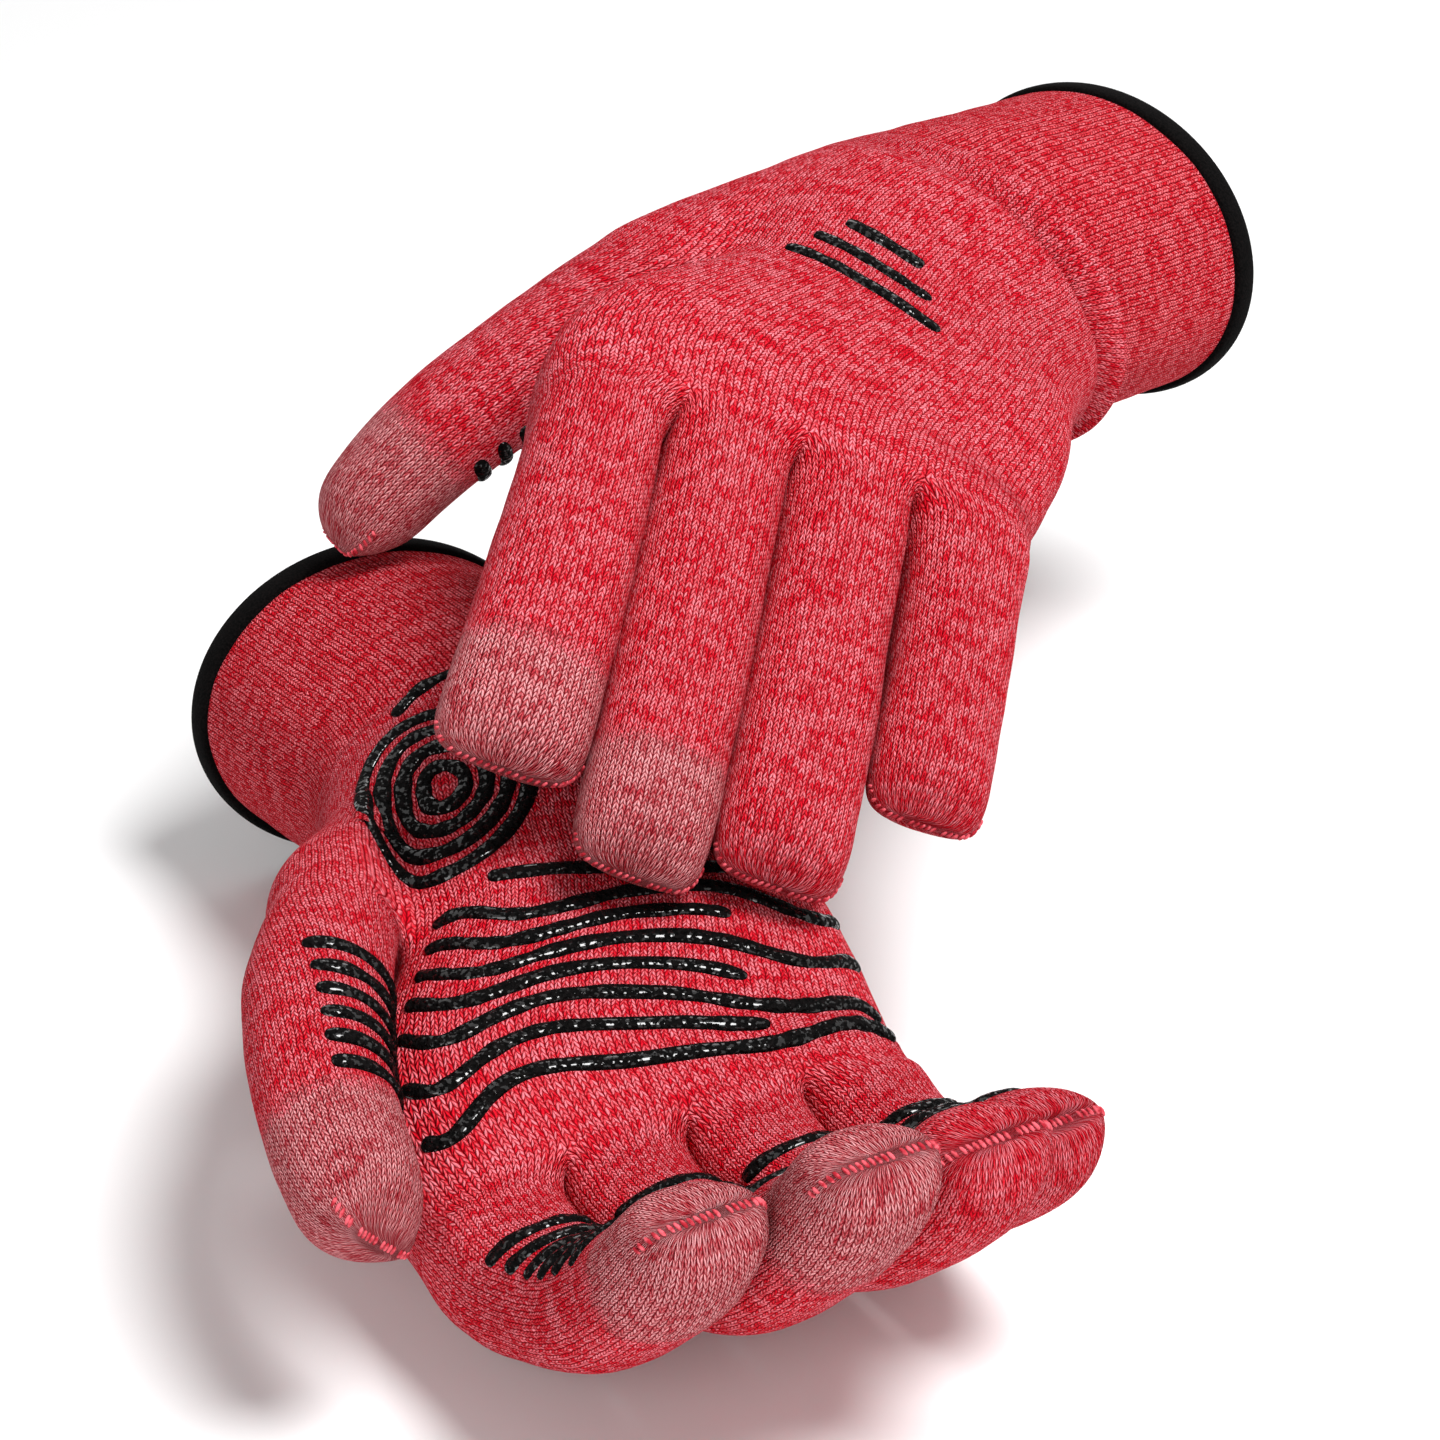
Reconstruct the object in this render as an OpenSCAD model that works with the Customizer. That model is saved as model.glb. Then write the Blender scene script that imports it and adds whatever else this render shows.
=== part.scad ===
// Pair of seamless knit grip gloves with a long cuff, the left glove lying across the right one.
// Each glove is modelled as a left glove around its finger roots: +Y to the fingertips, +Z to the back of
// the hand, +X to the thumb. The right glove is the mirror image, in its own pose.

/* [Knit] */
// Thickness of the knit wall
wall = 1.6; // [1.2:0.1:2.5]
// Room between pieces that move on each other
clear = 0.4; // [0.3:0.1:1]

/* [Fingers] */
// Distance between neighbouring finger centres at the roots
finger_pitch = 22; // [20:0.5:24]
// Length of the index finger from the web
index_l = 74; // [60:1:85]
// Width of the index finger
index_w = 21.4; // [18:0.2:21.6]
// Length of the middle finger from the web
middle_l = 85; // [65:1:95]
// Width of the middle finger
middle_w = 21.4; // [18:0.2:21.6]
// Length of the ring finger from the web
ring_l = 79; // [60:1:90]
// Width of the ring finger
ring_w = 21.4; // [17:0.2:21.6]
// Length of the little finger from the web
little_l = 59; // [45:1:70]
// Width of the little finger
little_w = 19.6; // [15:0.2:21.6]
// Thickness of a finger, back to pad
finger_t = 20.5; // [17:0.5:22]
// Length of the conductive tips
tip_l = 20; // [12:1:26]

/* [Thumb] */
// Width of the thumb at its root
thumb_w = 23.6; // [22:0.2:28]
// Width of the thumb near its end
thumb_end_w = 20.8; // [18:0.2:24]
// Thickness of the thumb
thumb_t = 23; // [18:0.5:25]
// Drop of the thumb root to the palm side
thumb_drop = 11; // [0:1:16]

/* [Hand] */
// Width across the palm
palm_w = 92; // [88:1:104]
// Finger roots to the thumb crotch
crotch_l = 48; // [42:1:60]
// Thickness at the finger roots
root_t = 27; // [24:1:32]
// Thickness of the palm at the thumb crotch
palm_t = 36; // [30:1:44]

/* [Cuff] */
// Thumb crotch to the start of the cuff
heel_l = 56; // [46:1:66]
// Length of the cuff
cuff_l = 55; // [40:1:110]
// Width of the wrist
wrist_w = 68; // [58:1:74]
// Thickness of the wrist
wrist_t = 50; // [36:1:54]
// Width of the cuff at its opening
opening_w = 67; // [60:1:96]
// Thickness of the cuff at its opening
opening_t = 54.5; // [42:0.5:70]
// Width of the binding tape on the cuff
tape_w = 4.6; // [3:0.2:8]
// Thickness of the binding tape
tape_t = 0.9; // [0.6:0.1:1.5]

/* [Grip print] */
// Width of a printed line
line_w = 3; // [1.6:0.1:3.6]
// Height of a printed line
line_h = 0.8; // [0.4:0.1:1.4]
// Number of wave lines across the palm
wave_n = 5; // [3:1:6]
// Number of bars on each finger
bar_n = 4; // [2:1:5]

/* [Pose] */
// Left glove: turn of the cuff towards the little finger
left_turn = 36; // [0:0.5:50]
// Left glove: tilt of the cuff towards the back of the hand
left_tilt = -3.8; // [-20:0.1:35]
// Left glove: bend at the knuckles
left_knuckle = 18.5; // [10:0.5:40]
// Left glove: bend at the middle finger joints
left_bend = 3; // [0:1:40]
// Left glove: drift of the index finger away from the others, per mm of its length
left_spread = 0.08; // [0:0.01:0.12]
// Right glove: turn of the cuff towards the little finger
right_turn = 4; // [0:0.5:50]
// Right glove: tilt of the cuff towards the back of the hand
right_tilt = 20.7; // [-20:0.1:35]
// Right glove: bend at the knuckles
right_knuckle = 32; // [10:0.5:40]
// Right glove: bend at the middle finger joints
right_bend = 24; // [0:1:40]
// Right glove: drift of the index finger away from the others, per mm of its length
right_spread = 0; // [0:0.01:0.12]

/* [Hidden] */
// sides of the rings around a hand and around a finger
hand_n = 24;
finger_n = 14;
// lean of the palm from the finger direction
lean = 20;
// lift of the printed lines off the knit
print_gap = 0.55;
// distances from the finger roots, measured down the hand
cuff_at = crotch_l + heel_l;
cuff_end = cuff_at + cuff_l;
wrist_at = cuff_at + 6;
// half width taken by the four finger roots, and by the thumb root beside the palm
root_half = 2 * finger_pitch;
palm_half = palm_w / 2;
crotch_half = palm_half - 8.5;
crotch_shift = -4.5;
heel_half = crotch_half + thumb_w / 2 + clear;
heel_shift = crotch_shift + thumb_w / 2 + clear;
// flat sewn end of a finger: length it takes, then share of it, of the width and of the thickness
end_r = 9;
seam_shares = [[0, 1, 1], [0.45, 0.97, 0.9], [0.75, 0.88, 0.66], [0.92, 0.74, 0.4], [1, 0.56, 0.13]];
// places along the thumb where its tip piece starts and where its end starts to close
thumb_split = 0.7;
thumb_close = 0.87;

// pose of a glove: turn, tilt, knuckle bend, middle joint bend, end points of the thumb's curve, spread
left_pose = [
    left_turn, left_tilt, left_knuckle, left_bend, [6, 13, -5], [23, 25, -20], [31.5, 37.5, -44.5], left_spread,
];
right_pose = [
    right_turn, right_tilt, right_knuckle, right_bend, [14, 20, -6], [26, 44, -7], [28, 68, -5], right_spread,
];

// fingers: place across the hand, length, width, share of the knuckle bend, share of the spread
index = [1.5 * finger_pitch, index_l, index_w, 1, 1];
middle = [0.5 * finger_pitch, middle_l, middle_w, 1, 0];
ring = [-0.5 * finger_pitch, ring_l, ring_w, 0.93, 0];
little = [-1.5 * finger_pitch, little_l, little_w, 0.85, 0];

// sections down the hand: distance, value
hand_half = [[0, root_half], [12, root_half + 0.5], [32, palm_half - 4.5], [crotch_l, crotch_half]];
hand_shift = [[0, 0], [20, -0.5], [crotch_l, crotch_shift]];
hand_up = [[0, root_t * 0.48], [18, root_t * 0.55], [crotch_l, palm_t * 0.47]];
hand_down = [[0, root_t * 0.52], [18, root_t * 0.6], [crotch_l, palm_t * 0.53]];
hand_square = [[0, 4], [18, 3], [crotch_l, 2.6]];
body_half = [
    [crotch_l, heel_half], [crotch_l + heel_l * 0.3, heel_half * 0.895],
    [crotch_l + heel_l * 0.6, heel_half * 0.78], [crotch_l + heel_l * 0.86, wrist_w / 2 + 3],
    [wrist_at, wrist_w / 2], [wrist_at + 14, wrist_w / 2 + 0.5], [cuff_end, opening_w / 2],
];
body_shift = [
    [crotch_l, heel_shift], [crotch_l + heel_l * 0.3, heel_shift * 0.65],
    [crotch_l + heel_l * 0.6, heel_shift * 0.3], [crotch_l + heel_l * 0.86, heel_shift * 0.1], [wrist_at, 0],
];
body_drop = [[crotch_l, thumb_drop], [crotch_l + heel_l * 0.6, thumb_drop * 0.35], [cuff_at, 0]];
body_up = [[crotch_l, palm_t * 0.47], [wrist_at, wrist_t / 2], [cuff_end, opening_t / 2]];
body_down = [
    [crotch_l, palm_t * 0.53], [crotch_l + heel_l * 0.5, palm_t * 0.6],
    [wrist_at, wrist_t / 2], [cuff_end, opening_t / 2],
];
body_square = [[crotch_l, 2.8], [crotch_l + heel_l * 0.7, 2.2], [wrist_at, 2.1], [cuff_end, 2]];

red = "#a8323a";
grey = "#8d8587";
black = "#17171a";

function ease(x) = let (c = min(1, max(0, x))) c * c * (3 - 2 * c);
function unit(v) = v / norm(v);
function flat(lists) = [for (list = lists) each list];
function power(x, p) = sign(x) * pow(abs(x), p);
function along(s, path) = [for (k = [1:3]) lookup(s, [for (row = path) [row[0], row[k]]])];

// a point of a rounded section: width, height above and below, squareness
function rounded(angle, half, up, down, square) = [
    half * power(cos(angle), 2 / square),
    (sin(angle) > 0 ? up : down) * power(sin(angle), 2 / square),
];

// way of the hand and cuff, walked from the finger roots
function body_turn(t, pose) = lean * ease(t / 25) + (pose[0] - lean) * ease((t - cuff_at + 42) / 60);
function body_tilt(t, pose) = pose[1] * ease((t - cuff_at + 34) / 55);
function body_across(t, pose) = let (a = body_turn(t, pose)) [cos(a), -sin(a), 0];
function body_above(t, pose) =
    let (a = body_turn(t, pose), f = body_tilt(t, pose)) [sin(a) * sin(f), cos(a) * sin(f), cos(f)];
function body_way(t, pose) = cross(body_across(t, pose), body_above(t, pose));
function body_path(pose) = [
    for (t = 0, p = [0, 0, 0]; t <= cuff_end + 4; p = p + 2 * body_way(t + 1, pose), t = t + 2)
        [t, p.x, p.y, p.z]
];

function hand_point(t, angle, out, pose, path) =
    let (q = rounded(angle, lookup(t, hand_half) + out, lookup(t, hand_up) + out, lookup(t, hand_down) + out,
        lookup(t, hand_square)))
    along(t, path) + body_across(t, pose) * (q.x + lookup(t, hand_shift)) + body_above(t, pose) * q.y;
function body_point(t, angle, out, pose, path) =
    let (q = rounded(angle, lookup(t, body_half) + out, lookup(t, body_up) + out, lookup(t, body_down) + out,
        lookup(t, body_square)),
        aside = q.x + lookup(t, body_shift),
        drop = lookup(t, body_drop) * ease((aside - 10) / 40))
    along(t, path) + body_across(t, pose) * aside + body_above(t, pose) * (q.y - drop);
function hand_rings(stations, out, pose, path) =
    [for (t = stations) [for (i = [0:hand_n - 1]) hand_point(t, i * 360 / hand_n, out, pose, path)]];
function body_ring(t, out, pose, path, shift = 0) =
    [for (i = [0:hand_n - 1]) body_point(t, i * 360 / hand_n, out, pose, path) + shift * body_way(t, pose)];
function body_rings(stations, out, pose, path) = [for (t = stations) body_ring(t, out, pose, path)];

// way of a finger, bending in its own plane
function finger_bend(s, finger, pose) =
    let (first = finger[1] * 0.46, second = finger[1] * 0.79)
    pose[2] * finger[3] * ease(s / 20) + pose[3] * ease((s - first + 9) / 18)
        + 0.6 * pose[3] * ease((s - second + 7) / 14);
function finger_way(s, finger, pose) = let (h = finger_bend(s, finger, pose)) [0, cos(h), -sin(h)];
function finger_above(s, finger, pose) = let (h = finger_bend(s, finger, pose)) [0, sin(h), cos(h)];
function finger_step(s, finger, pose) =
    finger_way(s, finger, pose) + [finger[4] * pose[7] * ease(s / 20), 0, 0];
function finger_path(finger, pose) = [
    for (s = 0, p = [finger[0], 0, 0]; s <= finger[1]; p = p + finger_step(s + 0.5, finger, pose), s = s + 1)
        [s, p.x, p.y, p.z]
];
function finger_point(s, angle, out, finger, pose, path, wide = 1, thick = 1) =
    let (
        end = finger[1] - end_r,
        half = lookup(s, [[0, finger_pitch / 2 - clear], [14, finger[2] / 2], [end, finger[2] * 0.49]]),
        up = lookup(s, [[0, root_t * 0.48], [17, finger_t * 0.49], [end, finger_t * 0.42]]),
        down = lookup(s, [[0, root_t * 0.52], [17, finger_t * 0.51], [end, finger_t * 0.45]]),
        square = lookup(s, [[0, 4], [16, 2.4]]),
        q = rounded(angle, wide * (half + out), thick * (up + out), thick * (down + out), square)
    )
    along(s, path) - [q.x, 0, 0] + finger_above(s, finger, pose) * q.y;
function finger_ring(s, out, finger, pose, path, wide = 1, thick = 1) =
    [for (i = [0:finger_n - 1]) finger_point(s, i * 360 / finger_n, out, finger, pose, path, wide, thick)];
function finger_rings(stations, out, finger, pose, path) =
    [for (s = stations) finger_ring(s, out, finger, pose, path)];

// way of the thumb, a curve from its place beside the palm
function thumb_root(pose) =
    let (path = body_path(pose))
    along(crotch_l, path) - body_above(crotch_l, pose) * thumb_drop - body_way(crotch_l, pose) * clear
        + body_across(crotch_l, pose) * (crotch_shift + crotch_half + thumb_w / 2 + 2 * clear);
function thumb_at(u, pose) =
    let (v = 1 - u) 3 * v * v * u * pose[4] + 3 * v * u * u * pose[5] + u * u * u * pose[6];
function thumb_way(u, pose) =
    let (
        curve = unit(thumb_at(min(1, u + 0.02), pose) - thumb_at(max(0, u - 0.02), pose)),
        share = ease(u / 0.3)
    )
    unit(curve * share - body_way(crotch_l, pose) * (1 - share));
function thumb_side(u, pose) =
    unit(cross([ease(2 * u), 0, 1], thumb_way(u, pose)));
function thumb_above(u, pose) = cross(thumb_way(u, pose), thumb_side(u, pose));
function thumb_point(u, angle, out, pose, root, wide = 1, thick = 1) =
    let (
        half = lookup(u, [[0, thumb_w / 2], [0.85, thumb_end_w / 2]]),
        up = lookup(u, [[0, palm_t * 0.4], [0.3, thumb_t * 0.5], [0.85, thumb_t * 0.42]]),
        down = lookup(u, [[0, palm_t * 0.4], [0.3, thumb_t * 0.52], [0.85, thumb_t * 0.46]]),
        square = lookup(u, [[0, 3], [0.3, 2.3]]),
        q = rounded(angle, wide * (half + out), thick * (up + out), thick * (down + out), square)
    )
    root + thumb_at(u, pose) + thumb_side(u, pose) * q.x + thumb_above(u, pose) * q.y;
function thumb_ring(u, out, pose, root, wide = 1, thick = 1) =
    [for (i = [0:finger_n - 1]) thumb_point(u, i * 360 / finger_n, out, pose, root, wide, thick)];
function thumb_rings(places, out, pose, root) = [for (u = places) thumb_ring(u, out, pose, root)];

// a tube of knit from its outer and inner rings, open at both ends or closed at its far end by two poles
module sleeve(outer, inner, poles = []) {
    n = len(outer[0]);
    m = len(outer);
    base = n * m;
    last = n * (m - 1);
    sides = [
        for (j = [0:m - 2], i = [0:n - 1])
            let (a = j * n + i, b = j * n + (i + 1) % n, c = b + n, d = a + n)
            each [[a, d, c], [a, c, b], [base + a, base + b, base + c], [base + a, base + c, base + d]]
    ];
    near = [
        for (i = [0:n - 1])
            let (a = i, b = (i + 1) % n) each [[a, b, base + b], [a, base + b, base + a]]
    ];
    far = [
        for (i = [0:n - 1])
            let (d = last + i, c = last + (i + 1) % n)
            each len(poles) > 0
                ? [[d, 2 * base, c], [base + c, 2 * base + 1, base + d]]
                : [[c, d, base + d], [c, base + d, base + c]]
    ];
    polyhedron(concat(flat(outer), flat(inner), poles), concat(sides, near, far), convexity = 6);
}

// a hoop from rings that follow each other around its section
module hoop(rings) {
    n = len(rings[0]);
    m = len(rings);
    sides = [
        for (j = [0:m - 1], i = [0:n - 1])
            let (
                k = (j + 1) % m,
                near = (i + 1) % n,
                a = j * n + i, b = j * n + near, c = k * n + near, d = k * n + i
            )
            each [[a, d, c], [a, c, b]]
    ];
    polyhedron(flat(rings), sides, convexity = 6);
}

// a printed line along points on the knit with their outward directions
module bead(points, outward, closed = false) {
    n = len(points);
    sections = [
        for (k = [0:n - 1])
            let (
                next = closed ? (k + 1) % n : min(n - 1, k + 1),
                prior = closed ? (k + n - 1) % n : max(0, k - 1),
                side = unit(cross(outward[k], points[next] - points[prior])),
                foot = points[k] + outward[k] * print_gap,
                crown = foot + outward[k] * line_h
            )
            [
                foot + side * line_w / 2, crown + side * line_w / 4,
                crown - side * line_w / 4, foot - side * line_w / 2,
            ]
    ];
    steps = closed ? n - 1 : n - 2;
    sides = [
        for (j = [0:steps], i = [0:3])
            let (
                k = (j + 1) % n,
                near = (i + 1) % 4,
                a = j * 4 + i, b = j * 4 + near, c = k * 4 + near, d = k * 4 + i
            )
            each [[a, d, c], [a, c, b]]
    ];
    last = 4 * (n - 1);
    ends = closed ? [] : [[0, 1, 2], [0, 2, 3], [last + 2, last + 1, last], [last + 3, last + 2, last]];
    polyhedron(flat(sections), concat(sides, ends), convexity = 6);
}

module cuff(pose) {
    path = body_path(pose);
    rest = cuff_end - wrist_at;
    stations = concat([cuff_at], [for (share = [0, 0.25, 0.5, 0.75, 1]) wrist_at + rest * share]);
    color(red) sleeve(body_rings(stations, 0, pose, path), body_rings(stations, -wall, pose, path));
}

module cuff_binding(pose) {
    path = body_path(pose);
    gap = 0.15;
    out = gap + tape_t;
    back = cuff_end - tape_w;
    color(black) hoop([
        body_ring(back, out, pose, path), body_ring(cuff_end, out, pose, path, out),
        body_ring(cuff_end, -wall - out, pose, path, out), body_ring(back, -wall - out, pose, path),
        body_ring(back, -wall - gap, pose, path), body_ring(cuff_end, -wall - gap, pose, path, gap),
        body_ring(cuff_end, gap, pose, path, gap), body_ring(back, gap, pose, path),
    ]);
}

module heel(pose) {
    path = body_path(pose);
    stations = [for (share = [0, 0.3, 0.6, 0.86, 1]) crotch_l + heel_l * share];
    color(red) sleeve(body_rings(stations, 0, pose, path), body_rings(stations, -wall, pose, path));
}

module hand(pose) {
    path = body_path(pose);
    stations = [for (share = [0, 0.12, 0.25, 0.38, 0.67, 0.85, 1]) crotch_l * share];
    color(red) sleeve(hand_rings(stations, 0, pose, path), hand_rings(stations, -wall, pose, path));
}

function finger_stations(finger, end) = [
    for (s = [clear, 5, 10, 14, 17, finger[1] * 0.36, finger[1] * 0.46, finger[1] * 0.56, finger[1] * 0.66,
        finger[1] * 0.75, finger[1] - end_r]) if (s < end - 2) s
];

module finger_stall(finger, pose, closed) {
    path = finger_path(finger, pose);
    end = finger[1] - (closed ? end_r : tip_l);
    stations = finger_stations(finger, end);
    open_stations = concat(stations, [end]);
    color(red)
    if (closed) finger_closed(stations, finger, pose, path);
    else sleeve(
        finger_rings(open_stations, 0, finger, pose, path),
        finger_rings(open_stations, -wall, finger, pose, path)
    );
}

module finger_tip(finger, pose) {
    path = finger_path(finger, pose);
    color(grey) finger_closed([finger[1] - tip_l, finger[1] - tip_l * 0.75], finger, pose, path);
}

module finger_closed(straight, finger, pose, path) {
    start = finger[1] - end_r;
    outer = concat(
        finger_rings(straight, 0, finger, pose, path),
        [for (q = seam_shares) finger_ring(start + end_r * q[0], 0, finger, pose, path, q[1], q[2])]
    );
    inner = concat(
        finger_rings(straight, -wall, finger, pose, path),
        [
            for (q = seam_shares)
                finger_ring(start + (end_r - wall) * q[0], -wall, finger, pose, path, q[1], q[2])
        ]
    );
    sleeve(outer, inner, [along(finger[1], path), along(finger[1] - wall, path)]);
}

module thumb_stall(pose) {
    root = thumb_root(pose);
    places = [0, 0.1, 0.2, 0.3, 0.42, 0.56, thumb_split];
    color(red) sleeve(thumb_rings(places, 0, pose, root), thumb_rings(places, -wall, pose, root));
}

module thumb_tip(pose) {
    root = thumb_root(pose);
    rest = 1 - thumb_close;
    inset = wall / norm(pose[6]);
    straight = [thumb_split, 0.79];
    outer = concat(
        thumb_rings(straight, 0, pose, root),
        [for (q = seam_shares) thumb_ring(thumb_close + rest * q[0], 0, pose, root, q[1], q[2])]
    );
    inner = concat(
        thumb_rings(straight, -wall, pose, root),
        [for (q = seam_shares) thumb_ring(thumb_close + (rest - inset) * q[0], -wall, pose, root, q[1], q[2])]
    );
    color(grey) sleeve(outer, inner, [root + thumb_at(1, pose), root + thumb_at(1 - inset, pose)]);
}

// printed bars across the pads of a finger
module finger_grip(finger, pose, end) {
    path = finger_path(finger, pose);
    pitch = (end - 16) / bar_n;
    color(black)
    for (k = [0:bar_n - 1]) {
        s = 18 + k * pitch;
        angles = [for (a = [222:24:318]) a];
        points = [for (a = angles) finger_point(s + 2 * cos(2 * (a - 270)), a, 0, finger, pose, path)];
        outward = [
            for (a = angles)
                let (
                    after = finger_point(s, a + 2, 0, finger, pose, path),
                    prior = finger_point(s, a - 2, 0, finger, pose, path)
                )
                unit(cross(after - prior, finger_way(s, finger, pose)))
        ];
        bead(points, outward);
    }
}

module thumb_grip(pose) {
    root = thumb_root(pose);
    color(black)
    for (u = [0.3, 0.42, 0.54, 0.64]) {
        angles = [for (a = [230:18:338]) a];
        points = [for (a = angles) thumb_point(u, a, 0, pose, root)];
        outward = [
            for (a = angles)
                let (
                    after = thumb_point(u, a + 2, 0, pose, root),
                    prior = thumb_point(u, a - 2, 0, pose, root)
                )
                unit(cross(after - prior, thumb_way(u, pose)))
        ];
        bead(points, outward);
    }
}

// wave lines across the palm below the fingers, every other one short of the little finger's edge
module palm_grip(pose) {
    path = body_path(pose);
    pitch = (crotch_l - 8) / wave_n;
    color(black)
    for (k = [0:wave_n - 1]) {
        first = k % 2 == 0 ? 206 : 246;
        spots = [for (a = [first:8:334]) [11 + k * pitch + 2.2 * sin(5 * (a - 270)), a]];
        points = [for (q = spots) hand_point(q[0], q[1], 0, pose, path)];
        outward = [
            for (q = spots)
                let (
                    after = hand_point(q[0], q[1] + 2, 0, pose, path),
                    prior = hand_point(q[0], q[1] - 2, 0, pose, path)
                )
                unit(cross(after - prior, body_way(q[0], pose)))
        ];
        bead(points, outward);
    }
}

// ripples on the ball of the thumb and on the heel of the hand
module heel_grip(pose) {
    path = body_path(pose);
    color(black)
    for (middle_angle = [238, 302], size = [0.36, 0.68, 1]) {
        spots = [
            for (q = [0:24:336])
                [crotch_l + heel_l * 0.46 + 18 * size * cos(q), middle_angle + 26 * size * sin(q)]
        ];
        points = [for (q = spots) body_point(q[0], q[1], 0, pose, path)];
        outward = [
            for (q = spots)
                let (
                    after = body_point(q[0], q[1] + 2, 0, pose, path),
                    prior = body_point(q[0], q[1] - 2, 0, pose, path),
                    lower = body_point(q[0] + 1, q[1], 0, pose, path),
                    upper = body_point(q[0] - 1, q[1], 0, pose, path)
                )
                unit(cross(after - prior, lower - upper))
        ];
        bead(points, outward, closed = true);
    }
}

// places of the two gloves: the left one rests by the end of its middle finger on the right palm
right_at = [-11.45, -99.2, 18.85];
right_turned = [-168, 1.44, 33.17];
left_rest = [-18.65, -65.9, 51.75];
left_turned = [-9.23, -22.66, -178.73];

module at_right() {
    translate(right_at) rotate(right_turned) mirror([1, 0, 0]) children();
}
module at_left() {
    finger_end = along(middle_l, finger_path(middle, left_pose));
    translate(left_rest) rotate(left_turned) translate(-finger_end) children();
}

module right_cuff_binding() { at_right() cuff_binding(right_pose); }
module right_cuff() { at_right() cuff(right_pose); }
module right_heel() { at_right() heel(right_pose); }
module right_hand() { at_right() hand(right_pose); }
module right_thumb_stall() { at_right() thumb_stall(right_pose); }
module right_index_stall() { at_right() finger_stall(index, right_pose, false); }
module right_middle_stall() { at_right() finger_stall(middle, right_pose, false); }
module right_ring_stall() { at_right() finger_stall(ring, right_pose, true); }
module right_little_stall() { at_right() finger_stall(little, right_pose, true); }
module right_thumb_tip() { at_right() thumb_tip(right_pose); }
module right_index_tip() { at_right() finger_tip(index, right_pose); }
module right_middle_tip() { at_right() finger_tip(middle, right_pose); }
module right_heel_grip() { at_right() heel_grip(right_pose); }
module right_palm_grip() { at_right() palm_grip(right_pose); }
module right_thumb_grip() { at_right() thumb_grip(right_pose); }
module right_index_grip() { at_right() finger_grip(index, right_pose, index_l - tip_l); }
module right_middle_grip() { at_right() finger_grip(middle, right_pose, middle_l - tip_l); }
module right_ring_grip() { at_right() finger_grip(ring, right_pose, ring_l - end_r); }
module right_little_grip() { at_right() finger_grip(little, right_pose, little_l - end_r); }
module left_cuff_binding() { at_left() cuff_binding(left_pose); }
module left_cuff() { at_left() cuff(left_pose); }
module left_heel() { at_left() heel(left_pose); }
module left_hand() { at_left() hand(left_pose); }
module left_thumb_stall() { at_left() thumb_stall(left_pose); }
module left_index_stall() { at_left() finger_stall(index, left_pose, false); }
module left_middle_stall() { at_left() finger_stall(middle, left_pose, false); }
module left_ring_stall() { at_left() finger_stall(ring, left_pose, true); }
module left_little_stall() { at_left() finger_stall(little, left_pose, true); }
module left_thumb_tip() { at_left() thumb_tip(left_pose); }
module left_index_tip() { at_left() finger_tip(index, left_pose); }
module left_middle_tip() { at_left() finger_tip(middle, left_pose); }
module left_heel_grip() { at_left() heel_grip(left_pose); }
module left_palm_grip() { at_left() palm_grip(left_pose); }
module left_thumb_grip() { at_left() thumb_grip(left_pose); }
module left_index_grip() { at_left() finger_grip(index, left_pose, index_l - tip_l); }
module left_middle_grip() { at_left() finger_grip(middle, left_pose, middle_l - tip_l); }
module left_ring_grip() { at_left() finger_grip(ring, left_pose, ring_l - end_r); }
module left_little_grip() { at_left() finger_grip(little, left_pose, little_l - end_r); }

right_cuff_binding();
right_cuff();
right_heel();
right_hand();
right_thumb_stall();
right_index_stall();
right_middle_stall();
right_ring_stall();
right_little_stall();
right_thumb_tip();
right_index_tip();
right_middle_tip();
right_heel_grip();
right_palm_grip();
right_thumb_grip();
right_index_grip();
right_middle_grip();
right_ring_grip();
right_little_grip();
left_cuff_binding();
left_cuff();
left_heel();
left_hand();
left_thumb_stall();
left_index_stall();
left_middle_stall();
left_ring_stall();
left_little_stall();
left_thumb_tip();
left_index_tip();
left_middle_tip();
left_heel_grip();
left_palm_grip();
left_thumb_grip();
left_index_grip();
left_middle_grip();
left_ring_grip();
left_little_grip();
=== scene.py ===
import math
import bmesh
import bpy
from mathutils import Euler, Matrix, Vector, noise
from mathutils.bvhtree import BVHTree


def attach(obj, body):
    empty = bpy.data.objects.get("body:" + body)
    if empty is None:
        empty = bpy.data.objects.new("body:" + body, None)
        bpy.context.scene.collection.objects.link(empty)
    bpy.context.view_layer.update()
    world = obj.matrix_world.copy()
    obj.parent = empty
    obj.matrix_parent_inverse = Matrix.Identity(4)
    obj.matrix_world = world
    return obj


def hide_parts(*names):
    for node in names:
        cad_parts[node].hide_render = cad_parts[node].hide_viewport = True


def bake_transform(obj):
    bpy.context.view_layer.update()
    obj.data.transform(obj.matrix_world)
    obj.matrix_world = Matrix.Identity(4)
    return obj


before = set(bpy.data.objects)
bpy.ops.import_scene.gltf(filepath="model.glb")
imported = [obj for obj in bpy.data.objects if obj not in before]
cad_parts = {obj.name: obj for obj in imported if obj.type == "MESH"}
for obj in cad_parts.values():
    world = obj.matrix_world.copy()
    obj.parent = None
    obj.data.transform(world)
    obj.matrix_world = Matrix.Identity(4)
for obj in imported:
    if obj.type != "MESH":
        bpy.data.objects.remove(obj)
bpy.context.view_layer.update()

# Knit shell of each glove: one seamless piece of marled yarn, knitted on a flat glove machine. Four finger
# tubes join in one tube for the palm, the thumb joins lower down, and the tube narrows to a ribbed cuff.
# Sizes in mm, measured from the finger roots of a left glove: +Y fingers, +Z back of the hand, +X thumb.
CROTCH, CUFF_START, WRIST, CUFF_END = 48.0, 104.0, 110.0, 159.0
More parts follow.
